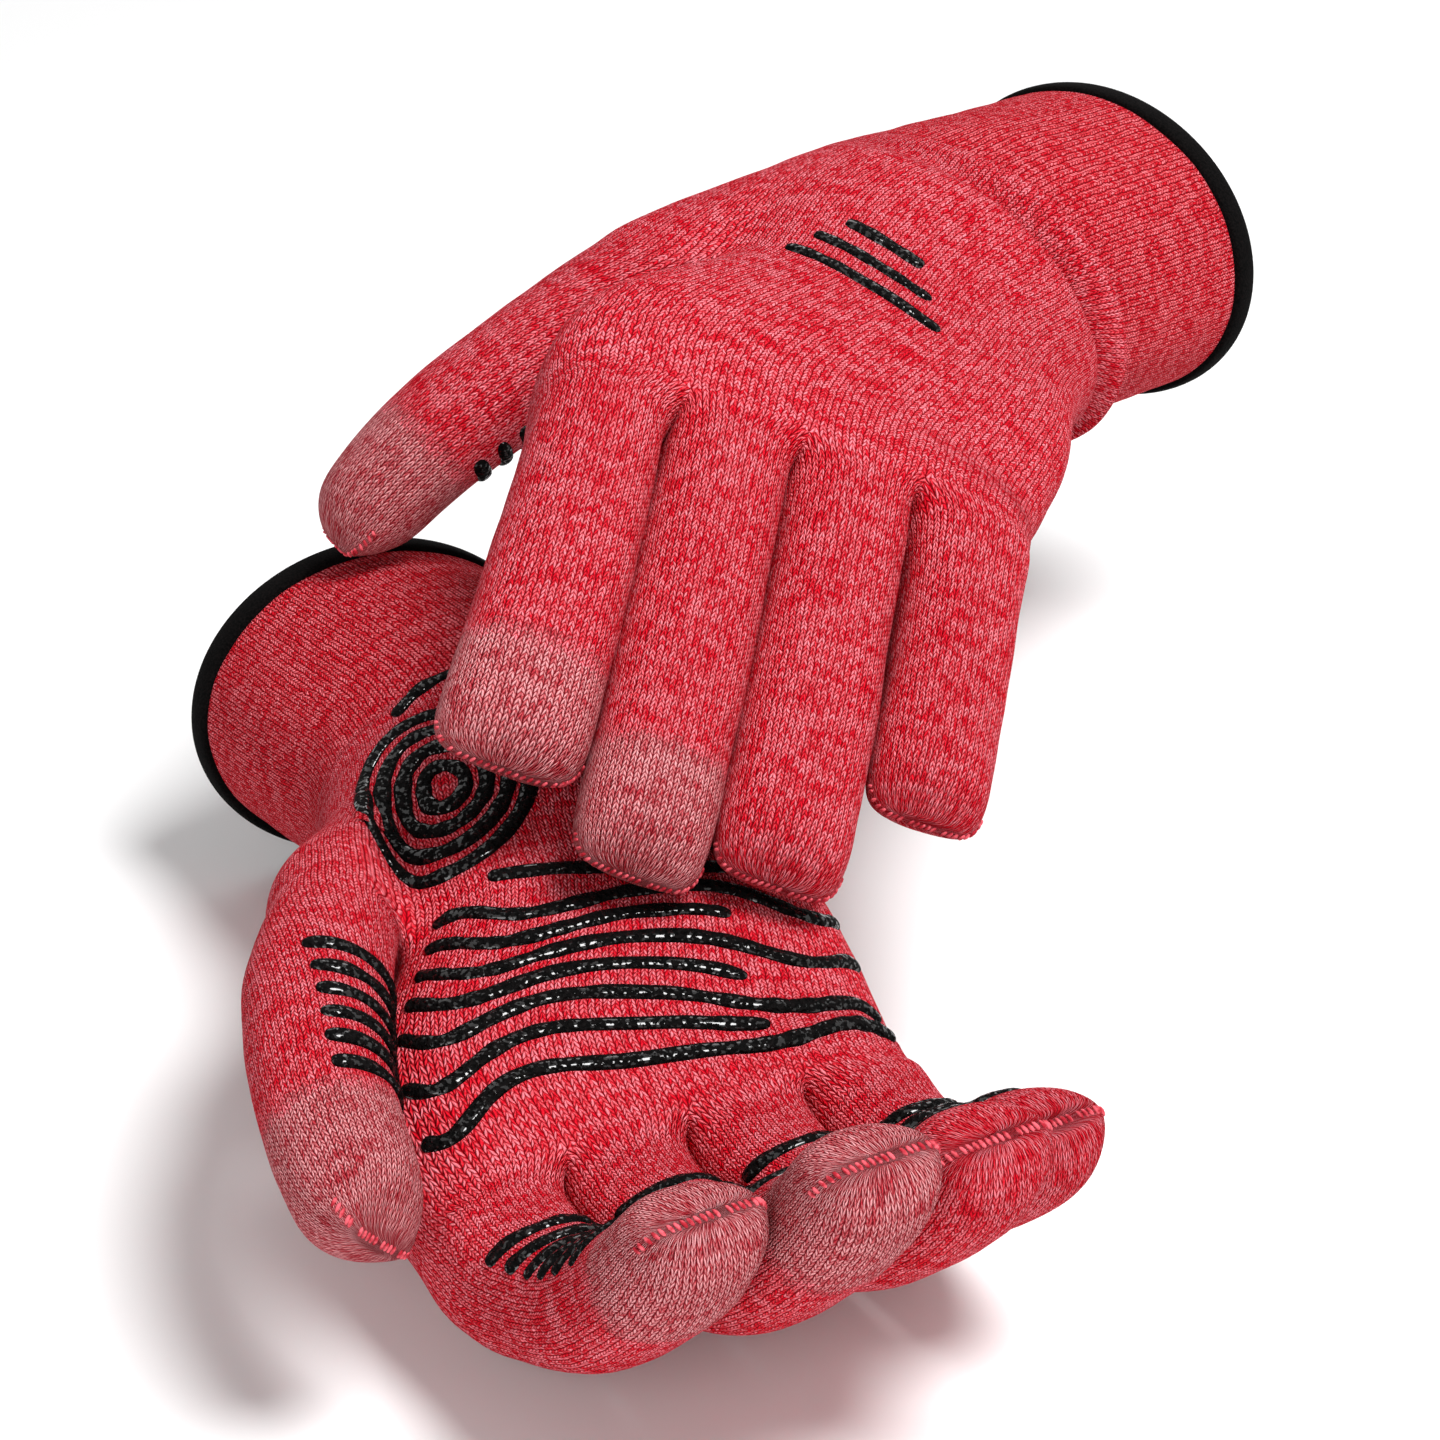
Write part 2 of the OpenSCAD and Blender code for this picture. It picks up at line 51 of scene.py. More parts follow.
THUMB_ASIDE, THUMB_DROP = 42.4, 11.0
THUMB_ROOT_HALF, THUMB_ROOT_THICK = 10.8, 14.2
TIP_LENGTH, END_LENGTH = 20.0, 9.0
# How a tip closes: the share of its end that is passed, and the width and thickness left there.
TIP_ROUND = ((0.45, 0.97, 0.84), (0.75, 0.89, 0.55), (0.92, 0.75, 0.28), (1.0, 0.56, 0.09))
THUMB_SPLIT, THUMB_CLOSE = 0.7, 0.87
COURSE = 0.95
PLAIN = 100 * COURSE
DIGITS = ["index", "middle", "ring", "little"]
FINGER = {
    "index": {"aside": 33.0, "length": 74.0, "width": 21.4, "bent": 1.0, "spread": 1.0},
    "middle": {"aside": 11.0, "length": 85.0, "width": 21.4, "bent": 1.0, "spread": 0.0},
    "ring": {"aside": -11.0, "length": 79.0, "width": 21.4, "bent": 0.93, "spread": 0.0},
    "little": {"aside": -33.0, "length": 59.0, "width": 19.6, "bent": 0.85, "spread": 0.0},
}
GLOVE = {
    "left": {
        "turn": 36.0, "tilt": -3.8, "knuckle": 18.5, "bend": 3.0, "spread": 0.03,
        "thumb": ((8, 13, -5), (26.5, 25, -20), (34, 37.5, -44.5)),
        "at": (4.91, 9.56, 83.61), "turned": (-9.23, -22.66, -178.73), "mirror": 1, "pleat": 1.0,
    },
    "right": {
        "turn": 4.0, "tilt": 20.7, "knuckle": 32.0, "bend": 24.0, "spread": 0.0,
        "thumb": ((16, 20, -6), (28.5, 44, -7), (29.5, 69, -5)),
        "at": (-11.45, -99.2, 18.85), "turned": (-168, 1.44, 33.17), "mirror": -1, "pleat": 0.35,
    },
}
# Bends, in degrees, and the lengths that they take. The wrist's start so far before the cuff.
LEAN, LEAN_LENGTH = 20.0, 25.0
WRIST_TURN, WRIST_TILT = (42, 60), (34, 55)
KNUCKLE_BEND = 20.0
MIDDLE_JOINT, MIDDLE_BEND = 0.46, 18.0
END_JOINT, END_BEND, END_SHARE = 0.79, 14.0, 0.6
THUMB_GAP, THUMB_TURN, THUMB_CURVE = 0.4, 0.3, 1.12
HAND_SPANS, HAND_CORNER = 16, 0.95
FINGER_SPANS, FINGER_CORNER, FINGER_EASE = 4, 0.74, 0.42
BODY_POINTS, HEEL_ROUNDING = 48, 38.0
LINING_INSET = 1.5
WEB_DEPTH = 1.2
# Wales in each span of a ring, and how far apart the counts of two digits start.
WALES, RIB_WALES, WALE_START = 4, 3, 50


def ease(x):
    x = min(1.0, max(0.0, x))
    return x * x * (3 - 2 * x)


def between(t, table):
    for (a, va), (b, vb) in zip(table, table[1:]):
        if t <= b:
            return va + (vb - va) * max(0.0, t - a) / (b - a)
    return table[-1][1]


def placed(side, point):
    """A place on one glove as a place in the pair, in metres."""
    glove = GLOVE[side]
    turned = Euler([math.radians(a) for a in glove["turned"]], "XYZ").to_matrix()
    local = Vector((point[0] * glove["mirror"], point[1], point[2]))
    return (turned @ local + Vector(glove["at"])) * 0.001


def wrist_share(t, before, length):
    """How much of a bend at the wrist is reached, from a place before the cuff over some length."""
    return ease((t - CUFF_START + before) / length)


def hand_axes(side, t):
    glove = GLOVE[side]
    turn = LEAN * ease(t / LEAN_LENGTH) + (glove["turn"] - LEAN) * wrist_share(t, *WRIST_TURN)
    tilt = glove["tilt"] * wrist_share(t, *WRIST_TILT)
    a, f = math.radians(turn), math.radians(tilt)
    across = Vector((math.cos(a), -math.sin(a), 0))
    above = Vector((math.sin(a) * math.sin(f), math.cos(a) * math.sin(f), math.cos(f)))
    return across, above, across.cross(above)


def hand_centre(side, t):
    centre, step = Vector(), 0.0
    while step + 2 <= t:
        centre += 2 * hand_axes(side, step + 1)[2]
        step += 2
    return centre + (t - step) * hand_axes(side, step + 1)[2]


def finger_axes(side, digit, s):
    glove, finger = GLOVE[side], FINGER[digit]
    bend = glove["knuckle"] * finger["bent"] * ease(s / KNUCKLE_BEND)
    middle, end = finger["length"] * MIDDLE_JOINT, finger["length"] * END_JOINT
    bend += glove["bend"] * ease((s - middle + MIDDLE_BEND / 2) / MIDDLE_BEND)
    bend += END_SHARE * glove["bend"] * ease((s - end + END_BEND / 2) / END_BEND)
    h = math.radians(bend)
    return Vector((1, 0, 0)), Vector((0, math.sin(h), math.cos(h))), Vector((0, math.cos(h), -math.sin(h)))


def finger_centre(side, digit, s):
    drift = GLOVE[side]["spread"] * FINGER[digit]["spread"]
    centre, step = Vector((FINGER[digit]["aside"], 0, 0)), 0.0
    while step < s:
        stride = min(1.0, s - step)
        way = finger_axes(side, digit, step + 0.5)[2]
        centre += stride * (way + Vector((drift * ease((step + 0.5) / KNUCKLE_BEND), 0, 0)))
        step += 1
    return centre


def thumb_root(side):
    across, above, way = hand_axes(side, CROTCH)
    return hand_centre(side, CROTCH) + across * THUMB_ASIDE - above * THUMB_DROP - way * THUMB_GAP


def thumb_centre(side, u):
    a, b, c = (Vector(p) for p in GLOVE[side]["thumb"])
    v = 1 - u
    return thumb_root(side) + 3 * v * v * u * a + 3 * v * u * u * b + u * u * u * c


def thumb_axes(side, u):
    curve = (thumb_centre(side, min(1, u + 0.02)) - thumb_centre(side, max(0, u - 0.02))).normalized()
    share = ease(u / THUMB_TURN)
    way = (curve * share - hand_axes(side, CROTCH)[2] * (1 - share)).normalized()
    across = Vector((ease(2 * u), 0, 1)).cross(way).normalized()
    return -across, way.cross(across), way


def oval(x, half, square):
    return max(0.0, 1 - abs(x / half) ** square) ** (1 / square)


def soft_section(half, up, down, square, spans, corner):
    """Points of a soft flat tube: back row, little finger side, palm row, thumb side."""
    reach = corner * half
    row = [reach * (1 - 2 * j / spans) for j in range(spans + 1)]
    top, low = up * oval(reach, half, square), -down * oval(reach, half, square)
    side = [top + (low - top) * k / 4 for k in (1, 2, 3)]
    out = [half * oval(z, up if z > 0 else down, square) for z in side]
    points = [(x, up * oval(x, half, square)) for x in row]
    points += [(-x, z) for x, z in zip(out, side)]
    points += [(x, -down * oval(x, half, square)) for x in reversed(row)]
    points += [(x, z) for x, z in zip(reversed(out), reversed(side))]
    return points


def ring_spots(points, centre, axes):
    return [centre + axes[0] * x + axes[1] * z for x, z in points]


# Each table pairs a distance from the finger roots with a size there.
HAND_HALF = [(0, 44), (12, 44.5), (32, 40.8), (CROTCH, 36.6)]
HAND_SHIFT = [(0, 0), (20, -0.5), (CROTCH, -5.4)]
HAND_UP = [(0, 13.6), (9, 15.2), (22, 15.2), (CROTCH, 17)]
HAND_DOWN = [(0, 14.4), (12, 16.6), (30, 18), (CROTCH, 19.4)]
HAND_SQUARE = [(0, 3.6), (18, 3.0), (CROTCH, 2.6)]


def hand_section(t):
    sizes = [between(t, table) for table in (HAND_HALF, HAND_UP, HAND_DOWN, HAND_SQUARE)]
    return [(x + between(t, HAND_SHIFT), z) for x, z in soft_section(*sizes, HAND_SPANS, HAND_CORNER)]


def hand_spots(side, t):
    return ring_spots(hand_section(t), hand_centre(side, t), hand_axes(side, t))


BODY_HALF = [(CROTCH, 36), (80, 38), (92, 36.2), (100, 35.2), (WRIST, 34), (124, 34.3), (CUFF_END, 33.5)]
BODY_SHIFT = [(CROTCH, 5.5), (66, 4.2), (82, 1.4), (97, 0.2), (WRIST, 0)]
BODY_THICK = [(CROTCH, 18), (84, 23), (98, 24.2), (WRIST, 25), (CUFF_END, 27.2)]
WRIST_FOLD = [
    (78, 0), (85, 0.6), (89, 0.2), (91.4, -3.4), (93, -3.2), (95.2, 2), (97, 3.8), (98.6, 3.2),
    (100.2, -2.4), (102, -2.8), (112, 0),
]


def body_section(side, t):
    """Points from the palm with the thumb beside it to the round wrist, with its pleat, and the cuff."""
    tables = BODY_HALF, BODY_SHIFT, BODY_THICK, WRIST_FOLD
    half, shift, thick, fold = (between(t, table) for table in tables)
    turns = [math.radians(45 + 360 / BODY_POINTS * j) for j in range(BODY_POINTS)]
    pleat = fold * GLOVE[side]["pleat"]
    folds = [pleat * min(1, max(0, 0.55 - 0.75 * math.cos(a))) for a in turns]
    wrist = [(shift + (half + f) * math.cos(a), (thick + f) * math.sin(a)) for a, f in zip(turns, folds)]
    outer = [math.radians(247.5 + 22.5 * k) for k in range(11)]
    palm = hand_section(CROTCH)[:37]
    for a in outer:
        x, z = THUMB_ROOT_HALF * math.cos(a), THUMB_ROOT_THICK * math.sin(a)
        palm.append((THUMB_ASIDE + x, z - THUMB_DROP))
    share = ease((t - CROTCH) / HEEL_ROUNDING)
    return [(p[0] + (q[0] - p[0]) * share, p[1] + (q[1] - p[1]) * share) for p, q in zip(palm, wrist)]


def body_spots(side, t, out=0.0):
    grown = []
    for x, z in body_section(side, t):
        growth = 1 + out / math.hypot(x, z)
        grown.append((x * growth, z * growth))
    return ring_spots(grown, hand_centre(side, t), hand_axes(side, t))


def finger_section(side, digit, s):
    full, end = FINGER[digit]["width"] / 2 + FINGER_EASE, FINGER[digit]["length"] - END_LENGTH
    half = between(s, [(0, 11), (3, 11), (14, full), (end, full)])
    half += GLOVE[side]["spread"] * FINGER[digit]["spread"] * max(0, s - 10)
    up = between(s, [(0, 13.2), (4, 12.4), (17, 10.2), (end, 8.8)])
    down = between(s, [(0, 14.0), (4, 12.9), (17, 10.6), (end, 9.4)])
    return half, up, down, between(s, [(0, 3.4), (16, 2.45)])


def finger_spots(side, digit, s, wide=1.0, thick=1.0):
    half, up, down, square = finger_section(side, digit, min(s, FINGER[digit]["length"] - END_LENGTH))
    points = soft_section(half * wide, up * thick, down * thick, square, FINGER_SPANS, FINGER_CORNER)
    return ring_spots(points, finger_centre(side, digit, s), finger_axes(side, digit, s))


def thumb_section(u):
    half = between(u, [(0, 11.2), (0.3, 11.7), (0.6, 11.2), (THUMB_CLOSE, 9.7)])
    up = between(u, [(0, THUMB_ROOT_THICK), (0.3, 11.5), (0.85, 9.7)])
    down = between(u, [(0, THUMB_ROOT_THICK), (0.3, 12.0), (0.85, 10.6)])
    return half, up, down


def thumb_spots(side, u, wide=1.0, thick=1.0):
    half, up, down = thumb_section(min(u, THUMB_CLOSE))
    turns = [math.radians(135 + 22.5 * k) for k in range(16)]
    points = [
        (half * wide * math.cos(a), (up if math.sin(a) > 0 else down) * thick * math.sin(a)) for a in turns
    ]
    return ring_spots(points, thumb_centre(side, u), thumb_axes(side, u))


PIECES = ["palm", "cuff", "lining"] + [d + "_stall" for d in ["thumb"] + DIGITS]
PIECES += [d + "_tip" for d in ["thumb", "index", "middle"]]


def ring_edges(bm, ring):
    pairs = zip(ring, ring[1:] + ring[:1])
    return [bm.edges.get(pair) or bm.edges.new(pair) for pair in pairs]


def next_ring(bm, ring, spots):
    """Extrudes a closed ring to new spots, and returns its far ring and the new faces."""
    made = bmesh.ops.extrude_edge_only(bm, edges=ring_edges(bm, ring))["geom"]
    fresh = {g for g in made if isinstance(g, bmesh.types.BMVert)}
    far = [next(e.other_vert(v) for e in v.link_edges if e.other_vert(v) in fresh) for v in ring]
    for vert, spot in zip(far, spots):
        vert.co = spot
    return far, [g for g in made if isinstance(g, bmesh.types.BMFace)]


def knit_band(bm, ring, spots, piece, wales, start, end, first):
    """Knits a band on to a ring, with its map counted in wales around it and courses along it."""
    far, faces = next_ring(bm, ring, spots)
    knit, part = bm.loops.layers.uv["knit"], bm.faces.layers.int["part"]
    column = {v: k for k, v in enumerate(ring)} | {v: k for k, v in enumerate(far)}
    for face in faces:
        face[part] = PIECES.index(piece)
        wraps = {column[loop.vert] for loop in face.loops} == {0, len(ring) - 1}
        for loop in face.loops:
            k = column[loop.vert]
            k = len(ring) if wraps and k == 0 else k
            loop[knit].uv = (wales * (first + k), (end if loop.vert in far else start) / COURSE)
    return far


def knit_end(bm, ring, piece, wales, end, first):
    face = bm.faces.new(ring)
    face[bm.faces.layers.int["part"]] = PIECES.index(piece)
    for k, loop in enumerate(face.loops):
        loop[bm.loops.layers.uv["knit"]].uv = (wales * (first + k), end / COURSE)


def cut_between(bm, a, b, count):
    """A chain of new points from a to b."""
    bm.edges.new((a, b))
    chain = [a]
    for left in range(count, 0, -1):
        edge = bm.edges.get((chain[-1], b))
        chain.append(bmesh.utils.edge_split(edge, chain[-1], 1 / (left + 1))[1])
    return chain[1:]


def knit_finger(bm, side, digit, ring, first):
    length = FINGER[digit]["length"]
    split = length - TIP_LENGTH
    tip = digit + ("_tip" if digit in ("index", "middle") else "_stall")
    stations = [3.0, 7.0, 12.0, 17.0]
    while stations[-1] + 9 < split:
        stations.append(stations[-1] + 7.5)
    stations += [split, split + 5.5, length - END_LENGTH]
    border = COURSE * round(split / COURSE) if tip.endswith("_tip") else PLAIN
    before = 0.0
    for s in stations:
        piece = tip if s > split else digit + "_stall"
        spots = finger_spots(side, digit, s)
        ring = knit_band(bm, ring, spots, piece, WALES, border - before, border - s, first)
        before = s
    for reach, wide, thick in TIP_ROUND:
        s = length - END_LENGTH * (1 - reach)
        spots = finger_spots(side, digit, s, wide, thick)
        ring = knit_band(bm, ring, spots, tip, WALES, border - before, border - s, first)
        before = s
    knit_end(bm, ring, tip, WALES, border - length, first)


def knit_thumb(bm, side, ring, first):
    length = (thumb_centre(side, 1) - thumb_root(side)).length * THUMB_CURVE
    border = COURSE * round(THUMB_SPLIT * length / COURSE)
    before = border
    for u in (0.06, 0.14, 0.22, 0.31, 0.4, 0.5, 0.6, THUMB_SPLIT, 0.79, THUMB_CLOSE):
        piece = "thumb_tip" if u > THUMB_SPLIT else "thumb_stall"
        after = border - u * length
        ring = knit_band(bm, ring, thumb_spots(side, u), piece, WALES, before, after, first)
        before = after
    for reach, wide, thick in TIP_ROUND:
        u = THUMB_CLOSE + (1 - THUMB_CLOSE) * reach
        spots = thumb_spots(side, u, wide, thick)
        after = border - u * length
        ring = knit_band(bm, ring, spots, "thumb_tip", WALES, before, after, first)
        before = after
    knit_end(bm, ring, "thumb_tip", WALES, border - length, first)


def knit_glove(side):
    bm = bmesh.new()
    first = 0 if side == "left" else 6 * WALE_START
    bm.loops.layers.uv.new("knit")
    bm.faces.layers.int.new("part")
    root = bmesh.ops.create_circle(bm, segments=40, radius=1)["verts"]
    for vert, spot in zip(root, hand_spots(side, 0)):
        vert.co = spot
    back, low = root[:17], list(reversed(root[20:37]))
    webs = {0: list(reversed(root[37:40])), 4: root[17:20]}
    for web in (1, 2, 3):
        webs[web] = cut_between(bm, back[4 * web], low[4 * web], 3)
        for vert in webs[web]:
            vert.co.y -= WEB_DEPTH
    for f, digit in enumerate(DIGITS):
        rows = back[4 * f:4 * f + 5], list(reversed(low[4 * f:4 * f + 5]))
        ring = rows[0] + webs[f + 1] + rows[1] + list(reversed(webs[f]))
        knit_finger(bm, side, digit, ring, first + WALE_START * (f + 1))

    ring, before = root, 0.0
    for t in (5.0, 11.0, 19.0, 28.0, 38.0, CROTCH):
        ring = knit_band(bm, ring, hand_spots(side, t), "palm", WALES, PLAIN + before, PLAIN + t, first)
        before = t
    thumb_outer = cut_between(bm, ring[36], ring[0], 11)
    for vert, spot in zip(thumb_outer, body_spots(side, CROTCH)[37:]):
        vert.co = spot
    cell = [ring[0]] + list(reversed(ring[37:40])) + [ring[36]] + thumb_outer
    knit_thumb(bm, side, cell, first + 5 * WALE_START)

    ring, last, before = ring[:37] + thumb_outer, CROTCH, CROTCH
    palm = [54, 61, 69, 77, 83, 86.5, 89, 90.4, 91.6, 92.9, 94.2, 95.5, 96.8, 98, 98.8, 100]
    cuff = [100.6, 102, 105, WRIST, 118, 128, 138, 148, 156, CUFF_END]
    for t in palm + cuff:
        after = before + math.hypot(t - last, between(t, WRIST_FOLD) - between(last, WRIST_FOLD))
        piece, wales = ("palm", WALES) if t in palm else ("cuff", RIB_WALES)
        ring = knit_band(bm, ring, body_spots(side, t), piece, wales, PLAIN + before, PLAIN + after, first)
        last, before = t, after
    for t in (CUFF_END - 0.2, 150, 138, 124, 112, 104, 101, 98.5, 96.5, 94, 91.5, 88, 82, 68):
        spots = body_spots(side, t, -LINING_INSET)
        after = before + t - last
        ring = knit_band(bm, ring, spots, "lining", RIB_WALES, PLAIN + before, PLAIN + after, first)
        last, before = t, after
    return bm


def finished(name, bm, material, side=None):
    """Puts a modelled piece in its place in the pair as an object."""
    if side:
        for vert in bm.verts:
            vert.co = placed(side, vert.co)
        bmesh.ops.recalc_face_normals(bm, faces=bm.faces)
    mesh = bpy.data.meshes.new(name)
    bm.to_mesh(mesh)
    bm.free()
    mesh.shade_smooth()
    mesh.materials.append(material)
    piece = bpy.data.objects.new(name, mesh)
    bpy.context.scene.collection.objects.link(piece)
    return piece


class Socket:
    """A shader value that takes part in Python sums."""

    def __init__(self, tree, link):
        self.tree, self.link = tree, link

    def node(self, kind, settings, inputs, output=0):
        made = self.tree.nodes.new(kind)
        for key, value in settings.items():
            setattr(made, key, value)
        for key, value in inputs.items():
            if isinstance(value, Socket):
                self.tree.links.new(value.link, made.inputs[key])
            else:
                made.inputs[key].default_value = value
        return Socket(self.tree, made.outputs[output])

    def sum(self, operation, *values):
        return self.node("ShaderNodeMath", {"operation": operation}, dict(enumerate(values)))

    def __add__(self, other):
        return self.sum("ADD", self, other)

    def __radd__(self, other):
        return self.sum("ADD", other, self)

    def __sub__(self, other):
        return self.sum("SUBTRACT", self, other)

    def __rsub__(self, other):
        return self.sum("SUBTRACT", other, self)

    def __mul__(self, other):
        return self.sum("MULTIPLY", self, other)

    def __rmul__(self, other):
        return self.sum("MULTIPLY", other, self)

    def __truediv__(self, other):
        return self.sum("DIVIDE", self, other)

    def __rtruediv__(self, other):
        return self.sum("DIVIDE", other, self)

    def __pow__(self, other):
        return self.sum("POWER", self, other)


def new_material(name, **shader_values):
    material = bpy.data.materials.new(name)
    material.use_nodes = True
    tree = material.node_tree
    shader = tree.nodes["Principled BSDF"]
    for key, value in shader_values.items():
        shader.inputs[key.replace("_", " ")].default_value = value

    def feed(name, socket):
        tree.links.new(socket.link, shader.inputs[name])

    return material, Socket(tree, None), feed


def mixed(factor, a, b):
    return factor.node("ShaderNodeMix", {"data_type": "RGBA"}, {"Factor": factor, "A": a, "B": b}, "Result")


def step_up(value, low, high):
    settings = {"interpolation_type": "SMOOTHSTEP"}
    return value.node("ShaderNodeMapRange", settings, {"Value": value, "From Min": low, "From Max": high})


def srgb(r, g, b):
    return tuple(((c / 255 + 0.055) / 1.055) ** 2.4 for c in (r, g, b)) + (1.0,)


# Grey tip colours for the hollows, the yarn and the pale marl: the hollow colour is painted shade.
TIP_SHADE_YARN_PALE = [srgb(108, 6, 18), srgb(192, 46, 58), srgb(244, 164, 168)]


def knit_material(name, painted_shade_gap, yarn, pale, groove):
    """Rows of slanted stitch legs from the knit map: u counts wales, v counts courses from a tip's border."""
    material, start, feed = new_material(name, Roughness=0.9, Specular_IOR_Level=0.02)
    flat = {"noise_dimensions": "2D"}
    stitch = start.node("ShaderNodeUVMap", {"uv_map": "knit"}, {})
    wobble = start.node("ShaderNodeTexNoise", flat, {"Vector": stitch, "Scale": 0.45, "Detail": 2.0}) - 0.5
    u = start.node("ShaderNodeSeparateXYZ", {}, {"Vector": stitch}, "X") + wobble * 0.5
    v = start.node("ShaderNodeSeparateXYZ", {}, {"Vector": stitch}, "Y") + wobble * 0.8
    off = u.sum("ABSOLUTE", u.sum("FRACT", u) - 0.5)
    leg = v + 1.7 * off
    loop = leg.sum("SINE", leg.sum("FRACT", leg) * math.pi)
    column = 1.0 - off.sum("ABSOLUTE", (off - 0.22) / 0.28) ** groove
    height = column.sum("MAXIMUM", column, 0.0) * (0.25 + 0.75 * loop)
    cell = start.node("ShaderNodeCombineXYZ", {}, {"X": u.sum("FLOOR", u * 2.0), "Y": leg.sum("FLOOR", leg)})
    fleck = start.node("ShaderNodeTexWhiteNoise", flat, {"Vector": cell}, "Value")
    lay = start.node("ShaderNodeCombineXYZ", {}, {"X": u * 0.1, "Y": v * 0.36})
    strands = {"Vector": lay, "Detail": 3.0, "Roughness": 0.65, "Scale": 1.0}
    streak = start.node("ShaderNodeTexNoise", flat, strands)
    fibre = start.node("ShaderNodeTexNoise", flat, {"Vector": stitch, "Scale": 2.6, "Detail": 2.0})
    marl = fleck * 0.6 + streak * 0.85 + fibre * 0.7
    tip = 1.0 - step_up(v + 3.2 * (fleck - 0.5) + 9.0 * (streak - 0.5), -0.4, 0.4)
    white = step_up(marl + tip * 0.16, 0.72, 1.56)
    # Painted shade: where the bump height is low, in the hollows between stitch legs and along the grooves
    # between wales, the colour turns to the dark gap colour.
    legs_out_of_painted_shade = step_up(height, 0.0, 0.75)
    # Pale marl flecks, kept to the leg crests, where they are also painted highlight.
    marl_and_crest_highlight = white * step_up(height, 0.15, 0.8)
    painted_shade_hollows, stitches, pale_flecks_and_highlights = (mixed(tip, a, b) for a, b in zip((painted_shade_gap, yarn, pale), TIP_SHADE_YARN_PALE))
    feed("Base Color", mixed(marl_and_crest_highlight, mixed(legs_out_of_painted_shade, painted_shade_hollows, stitches), pale_flecks_and_highlights))
    feed("Normal", start.node("ShaderNodeBump", {}, {"Strength": 1.0, "Distance": 0.0005, "Height": height}))
    return material


# Each knit's first colour is painted shade in its hollows and grooves. Its last, the pale marl, also stands
# in for painted highlight on the leg crests.
red_knit = knit_material("red_knit", srgb(128, 0, 12), srgb(222, 20, 40), srgb(255, 142, 154), 2.0)
rib_knit = knit_material("rib_knit", srgb(116, 0, 12), srgb(216, 20, 38), srgb(252, 132, 142), 1.5)
grey_knit = knit_material("grey_knit", srgb(128, 0, 12), srgb(222, 20, 40), srgb(255, 142, 154), 2.0)

CRUMPLES = ((0.0005, 45), (0.0002, 130))
shell_surface = {}
for side in ("left", "right"):
    cage = finished(side + "_shell", knit_glove(side), red_knit, side)
    round_off = cage.modifiers.new("round", "SUBSURF")
    round_off.levels = round_off.render_levels = 2
    whole = bpy.data.meshes.new_from_object(cage.evaluated_get(bpy.context.evaluated_depsgraph_get()))
    bpy.data.objects.remove(cage)
    bm = bmesh.new()
    bm.from_mesh(whole)
    for vert in bm.verts:
        vert.co += vert.normal * sum(size * noise.noise(vert.co * often) for size, often in CRUMPLES)
    bm.normal_update()
    bm.to_mesh(whole)
    part = bm.faces.layers.int["part"]
    inside = [face for face in bm.faces if face[part] == PIECES.index("lining")]
    bmesh.ops.delete(bm, geom=inside, context="FACES")
    shell_surface[side] = BVHTree.FromBMesh(bm)
    bm.free()
    hand_body = side + "_hand_body"
    for number, name in enumerate(PIECES):
        bm = bmesh.new()
        bm.from_mesh(whole)
        part = bm.faces.layers.int["part"]
        shared = {vert.co.to_tuple(7): vert.normal.copy() for vert in bm.verts}
        others = [face for face in bm.faces if face[part] != number]
        bmesh.ops.delete(bm, geom=others, context="FACES")
        material = {"cuff": rib_knit, "lining": rib_knit}.get(name, red_knit)
        if name.endswith("_tip"):
            material = grey_knit
        piece = finished(side + "_" + name + "_knit", bm, material)
        normals = [shared[vert.co.to_tuple(7)] for vert in piece.data.vertices]
        piece.data.normals_split_custom_set_from_vertices(normals)
        digit = name.split("_")[0]
        body = side + "_" + digit + "_body"
        if name in ("palm", "cuff", "lining"):
            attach(piece, hand_body)
        elif name.endswith("_tip"):
            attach(piece, body)
        elif digit == "thumb":
            start, way = thumb_root(side), hand_axes(side, CROTCH)[2]
            placed(side, start)
            placed(side, start - way * 12)
            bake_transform(piece)
        else:
            start = Vector((FINGER[digit]["aside"], 0, 0))
            placed(side, start)
            placed(side, start + Vector((0, 14, 0)))
            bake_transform(piece)
        nodes = {"palm": ["heel", "hand"], "cuff": ["cuff"], "lining": []}.get(name, [name])
        if nodes:
            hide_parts(*[side + "_" + node for node in nodes])

# Fingertip seams: each finger is closed flat at its end by a row of overlock stitches in the same yarn,
# which stand out as small slanted bumps along the edge.
STITCH_PITCH, STITCH_SLANT = 1.15, 0.35
STITCH = (0.36, 0.42, 0.8)
seam_yarn, start, feed = new_material("seam_yarn", Roughness=0.9, Specular_IOR_Level=0.25)
place = start.node("ShaderNodeTexCoord", {}, {}, "Object")
spin = start.node("ShaderNodeTexNoise", {}, {"Vector": place, "Scale": 900.0, "Detail": 1.0})
feed("Base Color", mixed(step_up(spin, 0.35, 0.65), srgb(166, 26, 42), srgb(228, 96, 108)))


def tip_edge(side, digit):
    """Places along the flat end of a finger, from its thumb side to the other one."""
    widths = [(0.0, 1.0)] + [(reach, wide) for reach, wide, thick in TIP_ROUND]
    rim = [(k / 20, between(k / 20, widths)) for k in range(8, 21)]
    rim += [(1.0, TIP_ROUND[-1][1] * k / 6) for k in range(5, -1, -1)]
    rim += [(reach, -wide) for reach, wide in reversed(rim[:-1])]
    for reach, wide in rim:
        if digit == "thumb":
            u = THUMB_CLOSE + (1 - THUMB_CLOSE) * reach
            axes, half = thumb_axes(side, u), thumb_section(THUMB_CLOSE)[0]
            yield thumb_centre(side, u) + axes[0] * half * wide, axes[1]
        else:
            end = FINGER[digit]["length"] - END_LENGTH
            s = end + END_LENGTH * reach
            axes, half = finger_axes(side, digit, s), finger_section(side, digit, end)[0]
            yield finger_centre(side, digit, s) + axes[0] * half * wide, axes[1]


